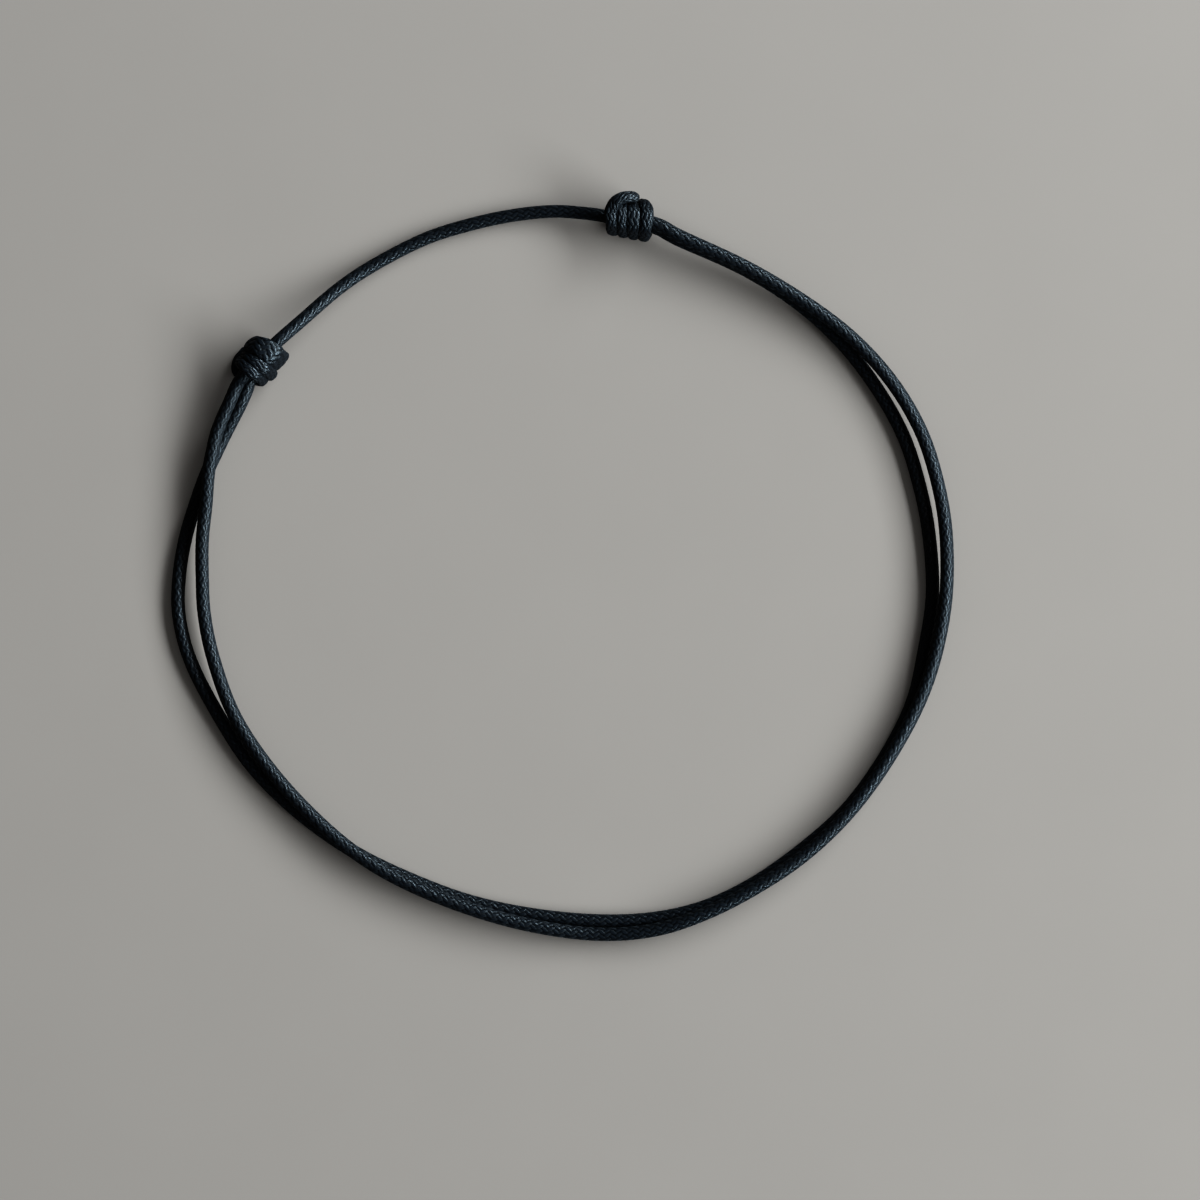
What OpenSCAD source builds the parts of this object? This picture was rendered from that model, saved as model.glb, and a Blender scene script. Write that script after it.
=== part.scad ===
// Anklet of round braided cord with two sliding knots, in millimetres.
// One length of cord lies double round most of the loop and single over a short stretch.
// Each end of the cord is wound round the other strand as a barrel knot, so the loop can be
// drawn larger or smaller. The anklet lies on z = 0 with its box centred on the Z axis.

/* [Cord] */
// Diameter of the round braided cord
cord_d = 1.3; // [1.1:0.05:1.35]
// Clear space between two strands that lie against each other
strand_gap = 0.12; // [0.1:0.01:0.2]
// Sides of the cord's section
cord_sides = 8; // [8:2:12]

/* [Knots] */
// Thickness of a wrap, measured outwards from the strands it holds
wrap_thickness = 1.0; // [0.8:0.05:1]
// Clear space between a wrap and the strands inside it
wrap_clearance = 0.12; // [0.08:0.01:0.2]
// Rings of the wrap's tube from one row of its table to the next
wrap_steps = 4; // [3:1:6]
// Sides of the wrap's section
wrap_sides = 10; // [8:2:12]

/* [Left knot] */
// Middle of the left knot across the loop
left_knot_x = -30.1; // [-30.2:0.1:-30]
// Middle of the left knot along the loop
left_knot_y = 20.4; // [20.3:0.1:20.5]
// Direction of its axis towards the single strand, in degrees
left_knot_heading = 46; // [45:0.5:47]

/* [Top knot] */
// Middle of the top knot across the loop
top_knot_x = 6.7; // [6.6:0.1:6.8]
// Middle of the top knot along the loop
top_knot_y = 34.5; // [34.4:0.1:34.6]
// Direction of its axis towards the doubled strands, in degrees
top_knot_heading = -11; // [-12:0.5:-10]

/* [Hidden] */

cord_r = cord_d / 2;
// Least distance between the middles of two strands
strand_pitch = cord_d + strand_gap;
// Sideways distance between the two strands inside a knot
core_apart = 0.3;
// Height of the upper strand above the lower one inside a knot
core_rise = rise_of(core_apart);
// Slope of the line through the two strands inside a knot
core_slope = atan2(core_rise, core_apart);
// Distance from the strands' middles to the middle of a wrap round them
wrap_reach = cord_r + wrap_clearance + wrap_thickness / 2;
// How sharply a wrap passes from one strand to the other
wrap_turn = 3;
// Height of a knot's middle when its lowest wrap rests on the surface
knot_z = core_rise / 2 + wrap_reach + wrap_thickness / 2;
// Height of the lower strand's middle inside a knot
core_low = knot_z - core_rise / 2;

// Route of the doubled stretch, from inside the left knot round to inside the top knot:
// x, y of the point midway between the strands, the sideways distance between them, which is
// positive where the upper strand is on the outside, the share of the knots' height, and the
// least height of the upper strand above the lower one, which keeps it raised in a long low
// hump where the two lie apart between one crossing and the next
pair_route = [
    [-28.52, 22.0, 0.3, 1.0, 0.0],
    [-31.3, 19.1, 0.5, 1.0, 0.0],
    [-31.9, 18.0, 1.0, 0.9, 0.0],
    [-32.7, 16.2, 1.0, 0.8, 0.0],
    [-34.0, 13.5, 0.8, 0.4, 0.7],
    [-34.8, 11.3, 0.3, 0.2, 1.3],
    [-35.5, 9.1, -0.3, 0.1, 1.4],
    [-36.14, 6.1, -1.12, 0.0, 1.4],
    [-36.84, 2.6, -1.78, 0.0, 1.38],
    [-37.15, -1.2, -2.4, 0.0, 1.35],
    [-37.05, -5.0, -2.6, 0.0, 1.3],
    [-36.0, -9.4, -2.3, 0.0, 1.3],
    [-33.6, -14.85, -1.45, 0.0, 1.3],
    [-30.46, -19.72, -1.3, 0.0, 1.3],
    [-26.3, -24.2, -0.8, 0.0, 1.3],
    [-21.2, -28.3, -0.1, 0.0, 1.4],
    [-16.0, -31.2, 0.4, 0.0, 1.3],
    [-9.7, -33.7, 0.6, 0.0, 0.7],
    [-3.4, -35.3, 1.0, 0.0, 0.0],
    [3.2, -36.1, 1.3, 0.0, 0.0],
    [8.9, -35.8, 1.1, 0.0, 0.0],
    [13.92, -34.45, 0.6, 0.0, 0.0],
    [18.8, -32.1, 0.4, 0.0, 0.0],
    [23.7, -28.8, 0.5, 0.0, 0.0],
    [28.2, -24.7, 0.3, 0.0, 0.7],
    [31.9, -19.8, 0.3, 0.0, 1.3],
    [35.0, -14.1, 0.5, 0.0, 1.35],
    [36.6, -8.8, 1.1, 0.0, 1.35],
    [37.56, -2.9, 1.28, 0.0, 1.35],
    [37.35, 3.5, 1.64, 0.0, 1.35],
    [36.3, 8.9, 1.76, 0.0, 1.4],
    [34.68, 13.6, 1.7, 0.0, 1.4],
    [31.93, 18.25, 1.5, 0.0, 1.4],
    [28.26, 22.56, 0.98, 0.1, 1.4],
    [23.7, 26.3, 0.4, 0.4, 1.38],
    [18.14, 29.68, 0.2, 0.7, 1.3],
    [11.5, 32.7, 0.3, 1.0, 0.7],
    [9.2, 33.9, 0.3, 1.0, 0.0],
    [4.31, 35.01, 0.3, 1.0, 0.0]
];

// Route of the single stretch, from the top knot back to the left knot
single_route = [
    [2.0, 35.2, 1.5],
    [-1.1, 35.4, 1.1],
    [-5.1, 35.0, 0.8],
    [-9.3, 34.1, 0.7],
    [-13.7, 32.7, 0.7],
    [-18.48, 30.27, 0.9],
    [-22.26, 27.75, 1.5],
    [-26.4, 24.1, 2.6]
];

// Wraps of the left knot, from where the strand comes out at the outer side to the tail tucked
// in below: angle round the strands from the outer side over the top, place along the knot's
// axis, step outwards and width of the strand
left_wraps = [
    [-42, 1.75, 0, 0.7],
    [-16, 1.15, 0.12, 0.95],
    [14, 0.5, 0.45, 1.25],
    [50, 0.95, 0.4, 1.5],
    [90, 1.2, 0.1, 1.8],
    [180, 1.25, 0, 1.85],
    [270, 0.95, 0, 1.4],
    [360, -0.42, 0.1, 0.95],
    [450, -0.42, 0, 1.0],
    [540, -0.22, 0.3, 1.0],
    [630, -0.8, 0, 1.0],
    [720, -1.42, 0, 0.95],
    [810, -1.42, 0, 0.95],
    [900, -1.22, 0.05, 0.95],
    [990, -1.95, 0, 0.95],
    [1012, -2.25, 0.1, 1.0],
    [1030, -2.35, 0.35, 1.0],
    [1040, -2.1, 0.7, 1.0],
    [1047, -1.5, 1.0, 1.0],
    [1048, -0.9, 1.05, 1.0],
    [1048, 0, 1.1, 1.0]
];

// Wraps of the top knot, from the strand that rides over them to the last wrap's end, with the
// same four columns
top_wraps = [
    [23, 0.35, 1.05, 0.9],
    [28, 0.0, 1.05, 1.0],
    [34, -0.5, 1.1, 1.0],
    [42, -1.1, 1.05, 1.0],
    [52, -1.65, 0.8, 1.0],
    [70, -1.98, 0.25, 1.0],
    [95, -1.95, 0, 1.0],
    [180, -1.5, 0, 1.0],
    [270, -1.35, 0, 0.95],
    [360, -1.15, 0, 0.95],
    [450, -0.9, 0, 0.9],
    [540, -0.45, 0, 0.95],
    [630, -0.25, 0, 1.0],
    [720, -0.1, 0, 1.0],
    [810, 0.33, 0, 1.35],
    [900, 0.6, 0, 1.0],
    [990, 0.85, 0, 1.0],
    [1080, 0.95, 0.35, 1.0],
    [1125, 1.4, 0.25, 1.05],
    [1170, 1.6, 0.1, 1.1],
    [1260, 1.65, 0, 0.95],
    [1330, 1.9, 0, 0.9]
];

function unit(v) = v / norm(v);

// Height of the upper strand above the lower one, so that they stay a strand's pitch apart
function rise_of(apart) = sqrt(max(0, strand_pitch * strand_pitch - apart * apart));

// Direction of a path at one of its points
function heading_at(path, i) = unit(path[min(i + 1, len(path) - 1)] - path[max(i - 1, 0)]);

// Direction out of the loop at a row of the doubled stretch
function outward_at(i) =
    let (
        before = pair_route[max(i - 1, 0)],
        after = pair_route[min(i + 1, len(pair_route) - 1)]
    )
    unit([after.y - before.y, before.x - after.x]);

// Point of the upper strand (side 1) or the lower strand (side -1) at a row
function strand_at(i, side) =
    let (
        row = pair_route[i],
        out = outward_at(i) * side * row[2] / 2,
        low = cord_r + row[3] * (core_low - cord_r)
    )
    [row.x + out.x, row.y + out.y, low + (side > 0 ? max(rise_of(row[2]), row[4]) : 0)];

// The whole cord: the lower strand from its end in the left knot, the single stretch, and the
// upper strand to its end in the top knot
cord_path = concat(
    [for (i = [0:len(pair_route) - 1]) strand_at(i, -1)],
    single_route,
    [for (i = [0:len(pair_route) - 1]) strand_at(i, 1)]
);

// Ring of points round a nearly level path, with a flat side below
function cord_ring(path, i) =
    let (
        t = heading_at(path, i),
        side = unit(cross([0, 0, 1], t)),
        up = cross(t, side)
    )
    [for (k = [0:cord_sides - 1])
        let (a = 360 * (k + 0.5) / cord_sides)
        path[i] + cord_r * (cos(a) * side + sin(a) * up)];

// Row at a fraction of the way from one row of a table to the next, on a smooth curve
function row_between(rows, i, f) =
    let (
        a = rows[max(i - 1, 0)],
        b = rows[i],
        c = rows[i + 1],
        d = rows[min(i + 2, len(rows) - 1)]
    )
    b + f / 2 * (c - a + f * (2 * a - 5 * b + 4 * c - d + f * (3 * b - 3 * c + d - a)));

// All rows of a wrap's table and the rows between them
function fine_rows(rows) = concat(
    [for (i = [0:len(rows) - 2], k = [0:wrap_steps - 1]) row_between(rows, i, k / wrap_steps)],
    [rows[len(rows) - 1]]
);

// Direction out of a knot at an angle round it
function knot_normal(angle) = [0, cos(angle), sin(angle)];

// Middle of the wrapped strand at a row of its table
function wrap_point(row) =
    let (strand = max(-1, min(1, wrap_turn * cos(row[0] - core_slope))) * strand_pitch / 2)
    [row[1], strand * cos(core_slope), strand * sin(core_slope)]
        + (wrap_reach + row[2]) * knot_normal(row[0]);

// Oval ring of points round the wrapped strand
function wrap_ring(rows, path, i) =
    let (
        t = heading_at(path, i),
        side = unit(cross(knot_normal(rows[i][0]), t)),
        out = cross(t, side)
    )
    [for (k = [0:wrap_sides - 1])
        let (a = 360 * k / wrap_sides)
        path[i] + rows[i][3] / 2 * cos(a) * side + wrap_thickness / 2 * sin(a) * out];

// Closed tube through a list of rings
module skin(rings) {
    n = len(rings[0]);
    last = len(rings) - 1;
    walls = [for (i = [0:last - 1], k = [0:n - 1])
        let (a = i * n + k, b = i * n + (k + 1) % n)
        each [[a, a + n, b], [b, a + n, b + n]]];
    caps = [[for (k = [0:n - 1]) k], [for (k = [n - 1:-1:0]) last * n + k]];
    polyhedron(points = [for (ring = rings) each ring], faces = concat(walls, caps), convexity = 6);
}

// Strand wound round the two strands that pass through a knot
module wound_strand(table) {
    rows = fine_rows(table);
    path = [for (row = rows) wrap_point(row)];
    skin([for (i = [0:len(path) - 1]) wrap_ring(rows, path, i)]);
}

module cord() {
    color([0.05, 0.05, 0.06])
        skin([for (i = [0:len(cord_path) - 1]) cord_ring(cord_path, i)]);
}

module left_knot() {
    color([0.06, 0.06, 0.07])
        translate([left_knot_x, left_knot_y, knot_z])
            rotate(left_knot_heading)
                wound_strand(left_wraps);
}

module top_knot() {
    color([0.06, 0.06, 0.07])
        translate([top_knot_x, top_knot_y, knot_z])
            rotate(top_knot_heading)
                wound_strand(top_wraps);
}

cord();
left_knot();
top_knot();
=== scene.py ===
"""Cord anklet with two sliding knots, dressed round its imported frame.

One length of round waxed braid lies double round most of the loop and single between the knots.
Each knot is the end of that cord, wound round the two strands that pass through it. Lengths in
the tables are millimetres, as in the part's own source; everything that Blender holds is metres.
"""

import math

import bpy
import numpy as np
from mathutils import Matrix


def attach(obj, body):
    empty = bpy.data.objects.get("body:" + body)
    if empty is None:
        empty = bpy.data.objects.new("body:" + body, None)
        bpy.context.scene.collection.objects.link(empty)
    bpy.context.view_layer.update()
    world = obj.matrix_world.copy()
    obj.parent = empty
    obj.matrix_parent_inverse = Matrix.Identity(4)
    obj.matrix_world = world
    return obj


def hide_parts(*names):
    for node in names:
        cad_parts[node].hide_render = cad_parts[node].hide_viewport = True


bl_info = {
    "name": "Sliding-knot cord anklet",
    "version": (1, 0, 0),
    "blender": (4, 5, 0),
    "location": "3D View > Sidebar > Anklet",
    "description": "Lays a braided cord anklet and ties its two sliding knots on the packed frame",
    "category": "Add Mesh",
}

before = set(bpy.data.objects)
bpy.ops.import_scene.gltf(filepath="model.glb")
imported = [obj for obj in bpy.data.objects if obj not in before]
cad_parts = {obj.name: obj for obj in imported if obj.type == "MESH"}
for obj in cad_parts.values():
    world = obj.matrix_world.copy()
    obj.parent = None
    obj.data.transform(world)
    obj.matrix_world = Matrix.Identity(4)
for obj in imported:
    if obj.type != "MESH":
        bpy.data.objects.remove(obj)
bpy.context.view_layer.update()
MM = 0.001

CORD = "anklet_cord"
LEFT_KNOT = "left_sliding_knot"
TOP_KNOT = "top_sliding_knot"
# Collection of the pieces that the glint light reaches
ANKLET = "anklet"
# Map that holds the braid's counts at each point of a piece
BRAID_MAP = "braid"

# The route of the cord, in millimetres

# x, y midway between the doubled strands, the sideways distance between them (positive where the
# upper strand is outside), the share of the knots' height, and the least height of the upper
# strand above the lower one, which keeps it raised in a long low hump where the two lie apart
PAIR_ROUTE = (
    (-28.52, 22.0, 0.3, 1.0, 0.0),
    (-31.3, 19.1, 0.5, 1.0, 0.0),
    (-31.9, 18.0, 1.0, 0.9, 0.0),
    (-32.7, 16.2, 1.0, 0.8, 0.0),
    (-34.0, 13.5, 0.8, 0.4, 0.7),
    (-34.8, 11.3, 0.3, 0.2, 1.3),
    (-35.5, 9.1, -0.3, 0.1, 1.4),
    (-36.14, 6.1, -1.12, 0.0, 1.4),
    (-36.84, 2.6, -1.78, 0.0, 1.38),
    (-37.15, -1.2, -2.4, 0.0, 1.35),
    (-37.05, -5.0, -2.6, 0.0, 1.3),
    (-36.0, -9.4, -2.3, 0.0, 1.3),
    (-33.6, -14.85, -1.45, 0.0, 1.3),
    (-30.46, -19.72, -1.3, 0.0, 1.3),
    (-26.3, -24.2, -0.8, 0.0, 1.3),
    (-21.2, -28.3, -0.1, 0.0, 1.4),
    (-16.0, -31.2, 0.4, 0.0, 1.3),
    (-9.7, -33.7, 0.6, 0.0, 0.7),
    (-3.4, -35.3, 1.0, 0.0, 0.0),
    (3.2, -36.1, 1.3, 0.0, 0.0),
    (8.9, -35.8, 1.1, 0.0, 0.0),
    (13.92, -34.45, 0.6, 0.0, 0.0),
    (18.8, -32.1, 0.4, 0.0, 0.0),
    (23.7, -28.8, 0.5, 0.0, 0.0),
    (28.2, -24.7, 0.3, 0.0, 0.7),
    (31.9, -19.8, 0.3, 0.0, 1.3),
    (35.0, -14.1, 0.5, 0.0, 1.35),
    (36.6, -8.8, 1.1, 0.0, 1.35),
    (37.56, -2.9, 1.28, 0.0, 1.35),
    (37.35, 3.5, 1.64, 0.0, 1.35),
    (36.3, 8.9, 1.76, 0.0, 1.4),
    (34.68, 13.6, 1.7, 0.0, 1.4),
    (31.93, 18.25, 1.5, 0.0, 1.4),
    (28.26, 22.56, 0.98, 0.1, 1.4),
    (23.7, 26.3, 0.4, 0.4, 1.38),
    (18.14, 29.68, 0.2, 0.7, 1.3),
    (11.5, 32.7, 0.3, 1.0, 0.7),
    (9.2, 33.9, 0.3, 1.0, 0.0),
    (4.31, 35.01, 0.3, 1.0, 0.0),
)

# x, y, z of the single stretch, from the top knot back to the left knot
SINGLE_ROUTE = (
    (2.0, 35.2, 1.5),
    (-1.1, 35.4, 1.1),
    (-5.1, 35.0, 0.8),
    (-9.3, 34.1, 0.7),
    (-13.7, 32.7, 0.7),
    (-18.48, 30.27, 0.9),
    (-22.26, 27.75, 1.5),
    (-26.4, 24.1, 2.6),
)

# Angle round the strands in degrees, place along the knot, step outwards and width of the wrap
LEFT_WRAPS = (
    (-42, 1.75, 0.0, 0.7),
    (-16, 1.15, 0.12, 0.95),
    (14, 0.5, 0.45, 1.25),
    (50, 0.95, 0.4, 1.5),
    (90, 1.2, 0.1, 1.8),
    (180, 1.25, 0.0, 1.85),
    (270, 0.95, 0.0, 1.4),
    (360, -0.42, 0.1, 0.95),
    (450, -0.42, 0.0, 1.0),
    (540, -0.22, 0.3, 1.0),
    (630, -0.8, 0.0, 1.0),
    (720, -1.42, 0.0, 0.95),
    (810, -1.42, 0.0, 0.95),
    (900, -1.22, 0.05, 0.95),
    (990, -1.95, 0.0, 0.95),
    (1012, -2.25, 0.1, 1.0),
    (1030, -2.35, 0.35, 1.0),
    (1040, -2.1, 0.7, 1.0),
    (1047, -1.5, 1.0, 1.0),
    (1048, -0.9, 1.05, 1.0),
    (1048, 0.0, 1.1, 1.0),
)

TOP_WRAPS = (
    (23, 0.35, 1.05, 0.9),
    (28, 0.0, 1.05, 1.0),
    (34, -0.5, 1.1, 1.0),
    (42, -1.1, 1.05, 1.0),
    (52, -1.65, 0.8, 1.0),
    (70, -1.98, 0.25, 1.0),
    (95, -1.95, 0.0, 1.0),
    (180, -1.5, 0.0, 1.0),
    (270, -1.35, 0.0, 0.95),
    (360, -1.15, 0.0, 0.95),
    (450, -0.9, 0.0, 0.9),
    (540, -0.45, 0.0, 0.95),
    (630, -0.25, 0.0, 1.0),
    (720, -0.1, 0.0, 1.0),
    (810, 0.33, 0.0, 1.35),
    (900, 0.6, 0.0, 1.0),
    (990, 0.85, 0.0, 1.0),
    (1080, 0.95, 0.35, 1.0),
    (1125, 1.4, 0.25, 1.05),
    (1170, 1.6, 0.1, 1.1),
    (1260, 1.65, 0.0, 0.95),
    (1330, 1.9, 0.0, 0.9),
)

# x, y of the middle of each knot, and the heading of its axis in degrees
LEFT_PLACE = (-30.1, 20.4, 46.0)
TOP_PLACE = (6.7, 34.5, -11.0)
# Sideways distance between the two strands inside a knot
CORE_APART = 0.3
# How soon a wrap goes over from round one of those strands to round the other
CORE_TURN = 3

# Points that a smooth curve has for each row of its table
CORD_STEPS = 12
WRAP_STEPS = 24
# Passes that take the small kinks out of a middle line
CORD_EASING = 12
WRAP_EASING = 14
# Where a strand rests on the surface it is pressed flat this far above it
LEAST_HEIGHT = 0.005

# The mesh of the cord and of the wraps: points round it, and how close its rings are
CORD_SIDES = 36
CORD_RINGS_PER_STITCH = 7
WRAP_SIDES = 64
WRAP_RING_STEP = 0.055
# Power of the curve of a section: 2 is round, more is squarer
ROUND = 2.0
WRAP_SQUARENESS = 2.4
# Steps in which a section's length is measured, to space its points evenly
SECTION_STEPS = 720

# The braid, with eight yarns that lean each way round the cord
YARNS = 8
# How far a yarn rises and falls as it goes over and under the others
WEAVE = 0.5
# How sharp the step is where one yarn dips under another
STITCH_EDGE = 9
# Level of the gaps between the stitches, and how far above it a stitch has its full height
GAP_LEVEL = 0.55
STITCH_RISE = 0.75
# Power that makes a stitch's back flatter and its edges steeper
STITCH_FLATNESS = 4

# Yarns by which the braid swings round the cord and back, and the length for a radian of that
SWING = 2.2
SWING_LENGTH = 31.0
# Length over which the braid is twisted by one yarn
TWIST_LENGTH = 40.0
# Yarns by which the braid of a wrap is twisted with each stitch
WRAP_TWIST = 0.4

# Thickness of the doubled strands, as a share of the cord's plain diameter
DOUBLED_SHARE = 1.04
# How much thinner the cord is drawn in the middle of its single stretch, and over what length
SINGLE_THINNING = 0.06
SINGLE_LENGTH = 32.0
# Share by which the cord is uneven, and the lengths for a radian of the waves that make it so
UNEVENNESS = 0.006
UNEVEN_LENGTH = 2.9
UNEVEN_SHIFT_LENGTH = 7.3

# Share by which a lump of a wrap widens it, how often it comes in a millimetre, in radians, and
# where it starts
LUMPS = ((0.03, 2.3, 0), (0.02, 5.1, 1))
# Thickness of a wrap between its lumps, as a share of the plain one
WRAP_FLATNESS = 0.96
# Length over which a cut end is rounded off, and how much smaller it is at its very end
CUT_ROUNDING = 0.4
CUT_SHRINKING = 0.4

# The finish of the yarns

# Noise cells of the filaments across a yarn and along a stitch, and from one yarn to the next
FILAMENTS_ACROSS = 16.0
FILAMENTS_ALONG = 1.3
FILAMENTS_APART = 7.7
# Noise cells in a metre for the grain of the wax and for the patches where it lies thicker
WAX_GRAIN = 900.0
WAX_PATCHES = 160.0
# Heights of the stitches and of the filaments in the bump, as shares of the braid's relief
STITCH_BUMP = 0.5
FILAMENT_BUMP = 0.045
# How far the pressed yarns of a knot lose their filaments and the fan of their glints
FILAMENTS_PRESSED = 0.4
FAN_PRESSED = 0.3
# Painted shade in the gaps beside the yarns: how bright the yarns' colour is there
GAP_PAINTED_SHADE = 0.2
# Spans of a noise that are spread over a whole range: most of it, and its higher part for patches
NOISE_SPAN = (0.3, 0.7)
PATCH_SPAN = (0.35, 0.7)
# How far the filaments' and the patches' tone goes towards the wax colour
FILAMENT_TONE = 0.5
PATCH_TONE = 0.35
# Roughness in the gaps and on the stitches' backs, and what the wax's grain adds at its two ends
GAP_ROUGHNESS = 0.55
STITCH_ROUGHNESS = 0.27
WAX_SMOOTHER = -0.04
WAX_ROUGHER = 0.05
# Roughness that a steep flank adds, and the slopes where it starts and is complete
FLANK_ROUGHNESS = 0.5
FLANK_START = 0.35
FLANK_FULL = 0.8
# Strength of the yarns' gloss, and how far their glints fan out
YARN_GLOSS = 0.12
GLINT_FAN = 0.7

# The stage, in metres

# Middle of the camera's view, the camera's sensor in millimetres and how near and far it sees
VIEW_MIDDLE = (0.0037, -0.0034)
SENSOR_WIDTH = 36.0
NEAREST, FARTHEST = 0.01, 10.0
FLOOR_HALF = 3.0
# Noise cells in a metre of floor, the shade of its darker spots, its roughness and its gloss
FLOOR_MOTTLE = 60.0
FLOOR_SHADE = 0.96
FLOOR_ROUGHNESS = 0.85
FLOOR_GLOSS = 0.2
# Place, width and height, and colour of each light
WIDE_WINDOW = ((0.72, 0.16, 0.53), (1.7, 0.42), (0.9, 0.95, 1.0))
GLINT_WINDOW = ((0.74, 0.04, 0.53), (2.9, 0.1), (0.66, 0.87, 1.0))
ROOM_COLOUR = (0.95, 0.97, 1.0, 1.0)

# Shapes


def unit(v):
    """Vectors of length one, along the last axis."""
    return v / np.maximum(np.linalg.norm(v, axis=-1, keepdims=True), 1e-12)


def smooth_rows(rows, steps):
    """Rows of a table with more rows between them, on one smooth curve through them all."""
    rows = np.array(rows, float)
    ends = np.concatenate([rows[:1], rows, rows[-1:]])
    a, b, c, d = (ends[k : len(ends) - 3 + k][:, None] for k in range(4))
    f = (np.arange(steps) / steps)[None, :, None]
    curve = b + f / 2 * (c - a + f * (2 * a - 5 * b + 4 * c - d + f * (3 * b - 3 * c + d - a)))
    return np.concatenate([curve.reshape(-1, rows.shape[1]), rows[-1:]])


def evenly(points, step, *others):
    """Points every step along a line, and the other values at the same places."""
    along = np.concatenate([[0], np.cumsum(np.linalg.norm(np.diff(points, axis=0), axis=1))])
    at = np.linspace(0, along[-1], max(4, round(along[-1] / step) + 1))

    def read(values):
        values = np.asarray(values, float)
        if values.ndim == 1:
            return np.interp(at, along, values)
        return np.stack([np.interp(at, along, column) for column in values.T], axis=1)

    return [read(points), *[read(o) for o in others]], at


def eased(points, passes):
    """A line without its small kinks; its ends stay where they are."""
    points = points.copy()
    for _ in range(passes):
        points[1:-1] = (points[:-2] + 2 * points[1:-1] + points[2:]) / 4
    return points


def headings(points):
    """The direction of a line at each of its points."""
    return unit(np.gradient(points, axis=0))


def shared_sizes(cord, knots):
    """The measures that the strands and the wraps share, in millimetres, and the slope from one
    strand inside a knot to the other, in radians."""
    strand_pitch = (cord.diameter + cord.strand_gap) / MM
    core_rise = math.sqrt(strand_pitch**2 - CORE_APART**2)
    thickness = knots.wrap_thickness / MM
    reach = cord.diameter / MM / 2 + knots.wrap_clearance / MM + thickness / 2
    return {
        "pitch": strand_pitch,
        "slope": math.atan2(core_rise, CORE_APART),
        "reach": reach,
        "thickness": thickness,
        "middle": core_rise / 2 + reach + thickness / 2,
        "core_low": reach + thickness / 2,
        "radius": cord.diameter / MM / 2,
    }


def cord_line(sizes, step):
    """The middle line of the whole cord: the lower strand, the single stretch, the upper strand."""
    rows = smooth_rows(PAIR_ROUTE, CORD_STEPS)
    turn = np.gradient(rows[:, :2], axis=0)
    outward = unit(np.stack([turn[:, 1], -turn[:, 0]], axis=1))
    apart = rows[:, 2:3]
    low = sizes["radius"] + rows[:, 3] * (sizes["core_low"] - sizes["radius"])
    rise = np.maximum(np.sqrt(np.maximum(0, sizes["pitch"] ** 2 - rows[:, 2] ** 2)), rows[:, 4])
    lower = np.column_stack([rows[:, :2] - outward * apart / 2, low])
    upper = np.column_stack([rows[:, :2] + outward * apart / 2, low + rise])
    ways = [lower[-CORD_STEPS], lower[-1], *SINGLE_ROUTE, upper[0], upper[CORD_STEPS]]
    single = smooth_rows(ways, CORD_STEPS)[CORD_STEPS:-CORD_STEPS]
    line = np.concatenate([lower, single[1:-1], upper])
    (line,), _ = evenly(line, step)
    line = eased(line, CORD_EASING)
    (line,), along = evenly(line, step)
    return line, along


def wrap_line(table, place, sizes):
    """The middle line of a wound strand, the direction outwards from the knot, its widths, and
    the lengths along it."""
    rows = smooth_rows(table, WRAP_STEPS)
    angle = np.radians(rows[:, 0])
    normal = np.stack([np.zeros_like(angle), np.cos(angle), np.sin(angle)], axis=1)
    slope = sizes["slope"]
    strand = np.clip(CORE_TURN * np.cos(angle - slope), -1, 1) * sizes["pitch"] / 2
    core = np.stack([rows[:, 1], strand * math.cos(slope), strand * math.sin(slope)], axis=1)
    points = core + (sizes["reach"] + rows[:, 2])[:, None] * normal
    x, y, heading = place
    c, s = math.cos(math.radians(heading)), math.sin(math.radians(heading))
    turn = np.array([[c, -s, 0], [s, c, 0], [0, 0, 1]])
    points = points @ turn.T + [x, y, sizes["middle"]]
    (points, normal, width), along = evenly(points, WRAP_RING_STEP, normal @ turn.T, rows[:, 3])
    return eased(points, WRAP_EASING), unit(normal), width, along


def braid_height(around, along):
    """Height of the braid's face, 0 in its deepest gaps and 1 on its stitches. around counts
    yarns round the cord and along counts stitches; yarns that lean one way are on top where the
    others go under."""
    right = (around - along + 0.5) % 1 - 0.5
    left = (around + along + 0.5) % 1 - 0.5
    weave = WEAVE * np.cos(2 * math.pi * along)
    over = np.cos(math.pi * right) + weave
    under = np.cos(math.pi * left) - weave
    top = np.logaddexp(STITCH_EDGE * over, STITCH_EDGE * under) / STITCH_EDGE
    return 1 - (1 - np.clip((top - GAP_LEVEL) / STITCH_RISE, 0, 1)) ** STITCH_FLATNESS


def anklet_collection():
    """The collection of the pieces that the glint light reaches."""
    return bpy.data.collections.get(ANKLET) or bpy.data.collections.new(ANKLET)


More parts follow.
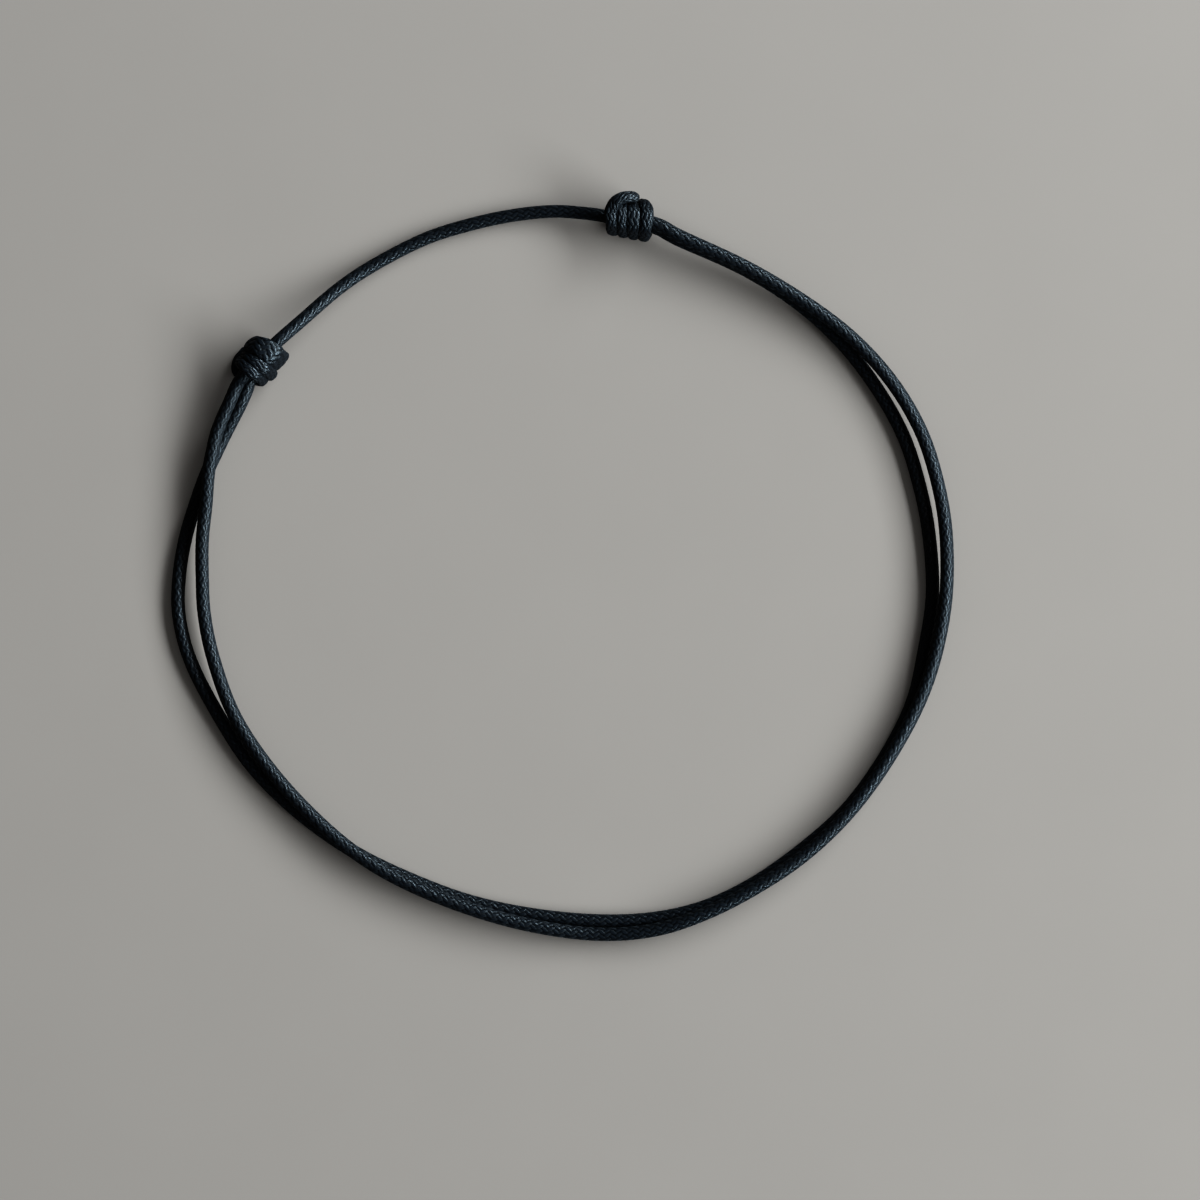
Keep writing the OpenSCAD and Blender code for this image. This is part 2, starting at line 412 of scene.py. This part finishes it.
def tube(name, line, side, out, half_width, half_thickness, sides, squareness, relief, braid):
    """A closed tube of braid round a line, as wide as half_width each way along side and as thick
    as half_thickness each way along out. braid holds the braid's own counts at each ring, the
    yarns round it and the stitches along it; they also go into the map that its finish reads."""
    around, along = braid
    rings = len(line)
    sweep = 2 * math.pi * np.arange(SECTION_STEPS) / SECTION_STEPS
    c, s = np.cos(sweep), np.sin(sweep)
    power = 2 / squareness
    shape_x = np.sign(c) * np.abs(c) ** power
    shape_y = np.sign(s) * np.abs(s) ** power
    points = np.empty((rings, sides, 3))
    counts = np.arange(sides) / sides
    previous = None
    for i in range(rings):
        a, b = half_width[i], half_thickness[i]
        if previous is None or previous[0] != (a, b):
            x, y = a * shape_x, b * shape_y
            steps = np.hypot(np.diff(np.append(x, x[0])), np.diff(np.append(y, y[0])))
            length = np.concatenate([[0], np.cumsum(steps)])
            at = counts * length[-1]
            u = np.interp(at, length, np.append(x, x[0]))
            v = np.interp(at, length, np.append(y, y[0]))
            nx = np.sign(u) * np.abs(u / a) ** (squareness - 1) / a
            ny = np.sign(v) * np.abs(v / b) ** (squareness - 1) / b
            size = np.hypot(nx, ny)
            previous = ((a, b), (u, v, nx / size, ny / size))
        u, v, nx, ny = previous[1]
        sink = relief * (1 - braid_height(around[i] + counts * YARNS, along[i]))
        points[i] = line[i] + np.outer(u - nx * sink, side[i]) + np.outer(v - ny * sink, out[i])
    faces = []
    for i in range(rings - 1):
        for k in range(sides):
            n = (k + 1) % sides
            faces.append((i * sides + k, i * sides + n, (i + 1) * sides + n, (i + 1) * sides + k))
    turns = around[:, None] + (np.arange(sides + 1) / sides * YARNS)[None, :]
    stitches = np.broadcast_to(along[:, None], turns.shape)
    grid = np.stack([turns, stitches], axis=2)
    corners = [grid[:-1, :-1], grid[:-1, 1:], grid[1:, 1:], grid[1:, :-1]]
    corners_map = np.stack(corners, axis=2).reshape(-1, 2)
    first, last = rings * sides, rings * sides + 1
    all_points = np.concatenate([points.reshape(-1, 3), [line[0], line[-1]]])
    all_points[:, 2] = np.maximum(all_points[:, 2], LEAST_HEIGHT)
    caps = []
    for k in range(sides):
        n = (k + 1) % sides
        caps.append((n, k, first))
        caps.append(((rings - 1) * sides + k, (rings - 1) * sides + n, last))
    mesh = bpy.data.meshes.new(name)
    mesh.from_pydata((all_points * MM).tolist(), [], faces + caps)
    mesh.update()
    layer = mesh.uv_layers.new(name=BRAID_MAP)
    cap_map = np.tile([around[0], along[0]], (3 * len(caps), 1))
    layer.data.foreach_set("uv", np.concatenate([corners_map, cap_map]).astype(np.float32).ravel())
    mesh.polygons.foreach_set("use_smooth", [True] * len(faces) + [False] * len(caps))
    piece = bpy.data.objects.new(name, mesh)
    bpy.context.scene.collection.objects.link(piece)
    anklet_collection().objects.link(piece)
    return piece


# Finishes


class Nodes:
    """Short ways to add and join the nodes of one material."""

    def __init__(self, name):
        self.material = bpy.data.materials.new(name)
        self.material.use_nodes = True
        self.tree = self.material.node_tree
        self.shader = self.tree.nodes["Principled BSDF"]

    def add(self, kind, **values):
        node = self.tree.nodes.new(kind)
        for key, value in values.items():
            setattr(node, key, value)
        return node

    def put(self, value, socket):
        """Links another node's output to a socket, or sets a plain value on it."""
        if isinstance(value, bpy.types.NodeSocket):
            self.tree.links.new(value, socket)
        else:
            socket.default_value = value

    def math(self, operation, *values):
        node = self.add("ShaderNodeMath", operation=operation)
        for value, socket in zip(values, node.inputs):
            self.put(value, socket)
        return node.outputs[0]

    def scaled(self, value, low, high, to_low, to_high):
        """A value's range from low to high, as one from to_low to to_high."""
        node = self.add("ShaderNodeMapRange", clamp=True)
        keys = ("Value", "From Min", "From Max", "To Min", "To Max")
        for key, number in zip(keys, (value, low, high, to_low, to_high)):
            self.put(number, node.inputs[key])
        return node.outputs["Result"]

    def point(self, x, y, z):
        node = self.add("ShaderNodeCombineXYZ")
        for value, socket in zip((x, y, z), node.inputs):
            self.put(value, socket)
        return node.outputs[0]

    def place(self):
        """Where a point is on its object, in metres."""
        return self.add("ShaderNodeTexCoord").outputs["Object"]

    def noise(self, vector, scale, detail):
        node = self.add("ShaderNodeTexNoise")
        self.put(vector, node.inputs["Vector"])
        self.put(scale, node.inputs["Scale"])
        self.put(detail, node.inputs["Detail"])
        return node.outputs["Fac"]

    def blend(self, share, first, second):
        """A colour that goes from the first to the second. A mix node has sockets for plain
        numbers and vectors too; those for colours are the inputs 6 and 7 and the output 2."""
        node = self.add("ShaderNodeMix", data_type="RGBA")
        self.put(share, node.inputs["Factor"])
        self.put(first, node.inputs[6])
        self.put(second, node.inputs[7])
        return node.outputs[2]


def opaque(colour, shade=1.0):
    """A colour with its opacity, and darker where shade is under 1."""
    return (*(shade * part for part in colour), 1.0)


def waxed_braid(name, cord, pressed):
    """Near-black waxed yarns braided eight each way: gaps darkened by painted shade, fine filaments
    along each stitch, and wax that is smoother on the stitches' backs. pressed is how far the yarns
    are flattened."""
    yarn_width = math.pi * cord.diameter / YARNS
    yarn_turn = math.atan2(yarn_width, cord.stitch) / (2 * math.pi)
    n = Nodes(name)
    counts = n.add("ShaderNodeUVMap", uv_map=BRAID_MAP)
    parts = n.add("ShaderNodeSeparateXYZ")
    n.put(counts.outputs[0], parts.inputs[0])
    around, along = parts.outputs[0], parts.outputs[1]

    # The yarns that lean each way, as in braid_height: how far off its middle line a point is,
    # and which yarn it is on
    leaning = []
    for operation in ("SUBTRACT", "ADD"):
        shifted = n.math("ADD", n.math(operation, around, along), 0.5)
        offset = n.math("SUBTRACT", n.math("FRACT", shifted), 0.5)
        yarn = n.math("FLOORED_MODULO", n.math("FLOOR", shifted), float(YARNS))
        leaning.append((offset, yarn))
    weave = n.math("MULTIPLY", n.math("COSINE", n.math("MULTIPLY", along, 2 * math.pi)), WEAVE)
    (right, right_yarn), (left, left_yarn) = leaning
    right_height = n.math("ADD", n.math("COSINE", n.math("MULTIPLY", right, math.pi)), weave)
    left_height = n.math("SUBTRACT", n.math("COSINE", n.math("MULTIPLY", left, math.pi)), weave)
    top = n.math("MAXIMUM", right_height, left_height)
    is_right = n.math("GREATER_THAN", right_height, left_height)
    is_left = n.math("SUBTRACT", 1.0, is_right)
    across = n.math(
        "ADD", n.math("MULTIPLY", right, is_right), n.math("MULTIPLY", left, is_left)
    )
    yarn = n.math(
        "ADD",
        n.math("MULTIPLY", right_yarn, is_right),
        n.math("MULTIPLY", n.math("ADD", left_yarn, float(YARNS)), is_left),
    )
    filament_place = n.point(
        n.math("MULTIPLY", across, FILAMENTS_ACROSS),
        n.math("MULTIPLY", along, FILAMENTS_ALONG),
        n.math("MULTIPLY", yarn, FILAMENTS_APART),
    )
    filaments = n.noise(filament_place, 1.0, detail=2.0)
    place = n.place()
    wax = n.noise(place, WAX_GRAIN, detail=3.0)
    patches = n.noise(place, WAX_PATCHES, detail=2.0)
    stitch_back = n.scaled(top, GAP_LEVEL, GAP_LEVEL + STITCH_RISE, 0.0, 1.0)

    filament_bump = FILAMENT_BUMP * (1 - FILAMENTS_PRESSED * pressed)
    height = n.math(
        "ADD",
        n.math("MULTIPLY", stitch_back, STITCH_BUMP),
        n.math("MULTIPLY", filaments, filament_bump),
    )
    bump = n.add("ShaderNodeBump")
    n.put(1.0, bump.inputs["Strength"])
    n.put(cord.relief, bump.inputs["Distance"])
    n.put(height, bump.inputs["Height"])
    n.put(bump.outputs[0], n.shader.inputs["Normal"])

    waxed = opaque(cord.wax_colour)
    tone = n.blend(n.scaled(filaments, *NOISE_SPAN, 0.0, FILAMENT_TONE), opaque(cord.colour), waxed)
    tone = n.blend(n.scaled(patches, *PATCH_SPAN, 0.0, PATCH_TONE), tone, waxed)
    # Painted shade: the yarns' colour is darkened in the gaps between the stitches, where shade
    # falls
    tone = n.blend(stitch_back, opaque(cord.colour, GAP_PAINTED_SHADE), tone)
    n.put(tone, n.shader.inputs["Base Color"])

    rough = n.math(
        "ADD",
        n.scaled(stitch_back, 0.0, 1.0, GAP_ROUGHNESS, STITCH_ROUGHNESS),
        n.scaled(wax, *NOISE_SPAN, WAX_SMOOTHER, WAX_ROUGHER),
    )
    # Steep flanks show the yarns' rough sides, so they mirror the floor less
    facing = n.add("ShaderNodeLayerWeight").outputs["Facing"]
    rough = n.math("ADD", rough, n.scaled(facing, FLANK_START, FLANK_FULL, 0.0, FLANK_ROUGHNESS))
    n.put(rough, n.shader.inputs["Roughness"])
    n.shader.inputs["Specular IOR Level"].default_value = YARN_GLOSS

    # Filaments run along their yarn, so they glint in a fan across it
    n.shader.inputs["Anisotropic"].default_value = GLINT_FAN * (1 - FAN_PRESSED * pressed)
    lean = n.scaled(is_right, 0.0, 1.0, -yarn_turn, yarn_turn)
    n.put(lean, n.shader.inputs["Anisotropic Rotation"])
    tangent = n.add("ShaderNodeTangent", direction_type="UV_MAP", uv_map=BRAID_MAP)
    n.put(tangent.outputs[0], n.shader.inputs["Tangent"])
    return n.material


def plain_floor(colour):
    """A pale, matt floor with the faintest mottle."""
    n = Nodes("pale_floor")
    mottle = n.noise(n.place(), FLOOR_MOTTLE, detail=4.0)
    tone = n.blend(mottle, opaque(colour, FLOOR_SHADE), opaque(colour))
    n.put(tone, n.shader.inputs["Base Color"])
    n.shader.inputs["Roughness"].default_value = FLOOR_ROUGHNESS
    n.shader.inputs["Specular IOR Level"].default_value = FLOOR_GLOSS
    return n.material


# Sizes and colours that a user may change


class AnkletCordSettings(bpy.types.PropertyGroup):
    """Sizes and colours of the braided cord"""

    diameter: bpy.props.FloatProperty(
        name="Cord diameter",
        description="Diameter of the round braided cord",
        default=0.0013,
        min=0.0008,
        max=0.00135,
        precision=5,
        unit="LENGTH",
    )
    strand_gap: bpy.props.FloatProperty(
        name="Strand gap",
        description="Clear space between two strands that lie against each other",
        default=0.00012,
        min=0.0001,
        max=0.0002,
        precision=5,
        unit="LENGTH",
    )
    stitch: bpy.props.FloatProperty(
        name="Stitch length",
        description="Distance from one stitch of the braid to the next in its column",
        default=0.00115,
        min=0.0008,
        max=0.002,
        precision=5,
        unit="LENGTH",
    )
    relief: bpy.props.FloatProperty(
        name="Braid relief",
        description="Depth of the gaps between the braid's stitches",
        default=0.00006,
        min=0.0,
        max=0.00012,
        precision=5,
        unit="LENGTH",
    )
    colour: bpy.props.FloatVectorProperty(
        name="Yarn colour",
        description="Colour of the yarns",
        default=(0.0034, 0.0037, 0.0043),
        min=0.0,
        max=1.0,
        size=3,
        subtype="COLOR",
    )
    wax_colour: bpy.props.FloatVectorProperty(
        name="Wax colour",
        description="Colour of the yarns where wax lies thicker on them",
        default=(0.0045, 0.0056, 0.0072),
        min=0.0,
        max=1.0,
        size=3,
        subtype="COLOR",
    )


class AnkletKnotSettings(bpy.types.PropertyGroup):
    """Sizes of the wraps of both knots"""

    wrap_thickness: bpy.props.FloatProperty(
        name="Wrap thickness",
        description="Thickness of a wrap, measured outwards from the strands that it holds",
        default=0.001,
        min=0.0008,
        max=0.001,
        precision=5,
        unit="LENGTH",
    )
    wrap_clearance: bpy.props.FloatProperty(
        name="Wrap clearance",
        description="Clear space between a wrap and the strands inside it",
        default=0.00012,
        min=0.00008,
        max=0.0002,
        precision=5,
        unit="LENGTH",
    )
    spread: bpy.props.FloatProperty(
        name="Wrap spread",
        description="How far the pressed wraps spread against each other",
        default=1.28,
        min=1.0,
        max=1.4,
        subtype="FACTOR",
    )


class AnkletStageSettings(bpy.types.PropertyGroup):
    """Camera, floor and light"""

    view_width: bpy.props.FloatProperty(
        name="View width",
        description="Width of the floor that the camera sees",
        default=0.12,
        min=0.09,
        max=0.3,
        unit="LENGTH",
    )
    view_height: bpy.props.FloatProperty(
        name="Camera height",
        description="Height of the camera above the floor",
        default=0.66,
        min=0.2,
        max=2.0,
        unit="LENGTH",
    )
    floor_colour: bpy.props.FloatVectorProperty(
        name="Floor colour",
        description="Colour of the plain floor",
        default=(0.37, 0.345, 0.315),
        min=0.0,
        max=1.0,
        size=3,
        subtype="COLOR",
    )
    window_power: bpy.props.FloatProperty(
        name="Window light",
        description="Power of the wide window at the right",
        default=17.0,
        min=0.0,
        max=100.0,
        unit="POWER",
    )
    glint_power: bpy.props.FloatProperty(
        name="Glint light",
        description="Power of the same window's glint, which reaches the anklet alone",
        default=95.0,
        min=0.0,
        max=200.0,
        unit="POWER",
    )
    room_light: bpy.props.FloatProperty(
        name="Room light",
        description="Strength of the soft light from above, which fades towards the horizon",
        default=0.22,
        min=0.0,
        max=1.0,
    )


# Operators


class ANKLET_OT_set_stage(bpy.types.Operator):
    """Sets the camera straight above the loop, over a plain floor in soft light"""

    bl_idname = "anklet.set_stage"
    bl_label = "Set stage"

    def execute(self, context):
        stage = context.scene.anklet_stage
        lens = bpy.data.cameras.new("overhead")
        lens.sensor_width = SENSOR_WIDTH
        lens.lens = SENSOR_WIDTH * stage.view_height / stage.view_width
        lens.clip_start, lens.clip_end = NEAREST, FARTHEST
        camera = bpy.data.objects.new("overhead", lens)
        camera.location = (*VIEW_MIDDLE, stage.view_height)
        context.scene.collection.objects.link(camera)
        context.scene.camera = camera

        signs = ((-1, -1), (1, -1), (1, 1), (-1, 1))
        corners = [(x * FLOOR_HALF, y * FLOOR_HALF, 0) for x, y in signs]
        mesh = bpy.data.meshes.new("floor")
        mesh.from_pydata(corners, [], [(0, 1, 2, 3)])
        floor = bpy.data.objects.new("floor", mesh)
        floor.data.materials.append(plain_floor(stage.floor_colour))
        context.scene.collection.objects.link(floor)

        self.add_window(context, "wide_window", stage.window_power, *WIDE_WINDOW)
        glint = self.add_window(context, "glint_window", stage.glint_power, *GLINT_WINDOW)
        glint.light_linking.receiver_collection = anklet_collection()

        world = bpy.data.worlds.new("soft_overhead_light")
        world.use_nodes = True
        tree = world.node_tree
        direction = tree.nodes.new("ShaderNodeTexCoord").outputs["Generated"]
        parts = tree.nodes.new("ShaderNodeSeparateXYZ")
        strength = tree.nodes.new("ShaderNodeMath")
        strength.operation = "MULTIPLY"
        strength.use_clamp = True
        strength.inputs[1].default_value = stage.room_light
        background = tree.nodes["Background"]
        background.inputs["Color"].default_value = ROOM_COLOUR
        tree.links.new(direction, parts.inputs[0])
        tree.links.new(parts.outputs["Z"], strength.inputs[0])
        tree.links.new(strength.outputs[0], background.inputs["Strength"])
        context.scene.world = world
        context.scene.view_settings.view_transform = "Standard"
        context.scene.view_settings.look = "High Contrast"
        return {"FINISHED"}

    def add_window(self, context, name, power, place, size, colour):
        """A light with the shape of a window, aimed at the middle of the floor."""
        light = bpy.data.lights.new(name, "AREA")
        light.shape = "RECTANGLE"
        light.size, light.size_y = size
        light.energy = power
        light.color = colour
        window = bpy.data.objects.new(name, light)
        window.location = place
        aim = -window.location.normalized()
        window.rotation_euler = aim.to_track_quat("-Z", "Y").to_euler()
        context.scene.collection.objects.link(window)
        return window


class ANKLET_OT_tie_knots(bpy.types.Operator):
    """Winds the two ends of the cord into the sliding knots"""

    bl_idname = "anklet.tie_knots"
    bl_label = "Tie knots"

    def execute(self, context):
        cord, knots = context.scene.anklet_cord, context.scene.anklet_knots
        sizes = shared_sizes(cord, knots)
        finish = waxed_braid("pressed_waxed_braid", cord, pressed=1.0)
        stitch = cord.stitch / MM
        for name, node, table, place in (
            (LEFT_KNOT, "left_knot", LEFT_WRAPS, LEFT_PLACE),
            (TOP_KNOT, "top_knot", TOP_WRAPS, TOP_PLACE),
        ):
            line, normal, width, along = wrap_line(table, place, sizes)
            heading = headings(line)
            side = unit(np.cross(normal, heading))
            out = np.cross(heading, side)
            from_end = np.minimum(along, along[-1] - along)
            rounded = 1 - CUT_SHRINKING * np.clip(1 - from_end / CUT_ROUNDING, 0, 1) ** 2
            lumps = sum(share * np.sin(rate * along + start) for share, rate, start in LUMPS)
            piece = tube(
                name,
                line,
                side,
                out,
                half_width=width / 2 * knots.spread * rounded * (1 + lumps),
                half_thickness=sizes["thickness"] / 2 * rounded * (WRAP_FLATNESS - lumps),
                sides=WRAP_SIDES,
                squareness=WRAP_SQUARENESS,
                relief=cord.relief / MM,
                braid=(WRAP_TWIST * along / stitch, along / stitch),
            )
            piece.data.materials.append(finish)
            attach(piece, "root")
            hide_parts(node)
        return {"FINISHED"}


class ANKLET_OT_lay_cord(bpy.types.Operator):
    """Lays the braided cord double round the loop and single between the knots"""

    bl_idname = "anklet.lay_cord"
    bl_label = "Lay cord"

    def execute(self, context):
        cord, knots = context.scene.anklet_cord, context.scene.anklet_knots
        sizes = shared_sizes(cord, knots)
        stitch = cord.stitch / MM
        line, along = cord_line(sizes, stitch / CORD_RINGS_PER_STITCH)
        heading = headings(line)
        side = unit(np.cross([0, 0, 1], heading))
        out = np.cross(heading, side)
        drift = SWING * np.sin(along / SWING_LENGTH) + along / TWIST_LENGTH
        from_middle = (along - along[-1] / 2) / SINGLE_LENGTH
        thinner = SINGLE_THINNING * np.exp(-(from_middle**2))
        uneven = UNEVENNESS * np.sin(along / UNEVEN_LENGTH + np.sin(along / UNEVEN_SHIFT_LENGTH))
        radius = sizes["radius"] * (DOUBLED_SHARE - thinner + uneven)
        piece = tube(
            CORD,
            line,
            side,
            out,
            half_width=radius,
            half_thickness=radius,
            sides=CORD_SIDES,
            squareness=ROUND,
            relief=cord.relief / MM,
            braid=(drift, along / stitch),
        )
        piece.data.materials.append(waxed_braid("waxed_braid", cord, pressed=0.0))
        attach(piece, "root")
        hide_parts("cord")
        return {"FINISHED"}


class ANKLET_PT_tools(bpy.types.Panel):
    """The anklet's sizes, and a button for each of its pieces"""

    bl_idname = "ANKLET_PT_tools"
    bl_label = "Anklet"
    bl_space_type = "VIEW_3D"
    bl_region_type = "UI"
    bl_category = "Anklet"

    def draw(self, context):
        layout = self.layout
        for settings, operator in (
            (context.scene.anklet_stage, "anklet.set_stage"),
            (context.scene.anklet_knots, "anklet.tie_knots"),
            (context.scene.anklet_cord, "anklet.lay_cord"),
        ):
            box = layout.box()
            for key in settings.__annotations__:
                box.prop(settings, key)
            box.operator(operator)


CLASSES = (
    AnkletCordSettings,
    AnkletKnotSettings,
    AnkletStageSettings,
    ANKLET_OT_set_stage,
    ANKLET_OT_tie_knots,
    ANKLET_OT_lay_cord,
    ANKLET_PT_tools,
)


def register():
    for c in CLASSES:
        bpy.utils.register_class(c)
    bpy.types.Scene.anklet_cord = bpy.props.PointerProperty(type=AnkletCordSettings)
    bpy.types.Scene.anklet_knots = bpy.props.PointerProperty(type=AnkletKnotSettings)
    bpy.types.Scene.anklet_stage = bpy.props.PointerProperty(type=AnkletStageSettings)


def unregister():
    del bpy.types.Scene.anklet_stage
    del bpy.types.Scene.anklet_knots
    del bpy.types.Scene.anklet_cord
    for c in reversed(CLASSES):
        bpy.utils.unregister_class(c)


def main():
    register()
    bpy.ops.anklet.set_stage()
    bpy.ops.anklet.tie_knots()
    bpy.ops.anklet.lay_cord()


if __name__ == "__main__":
    main()
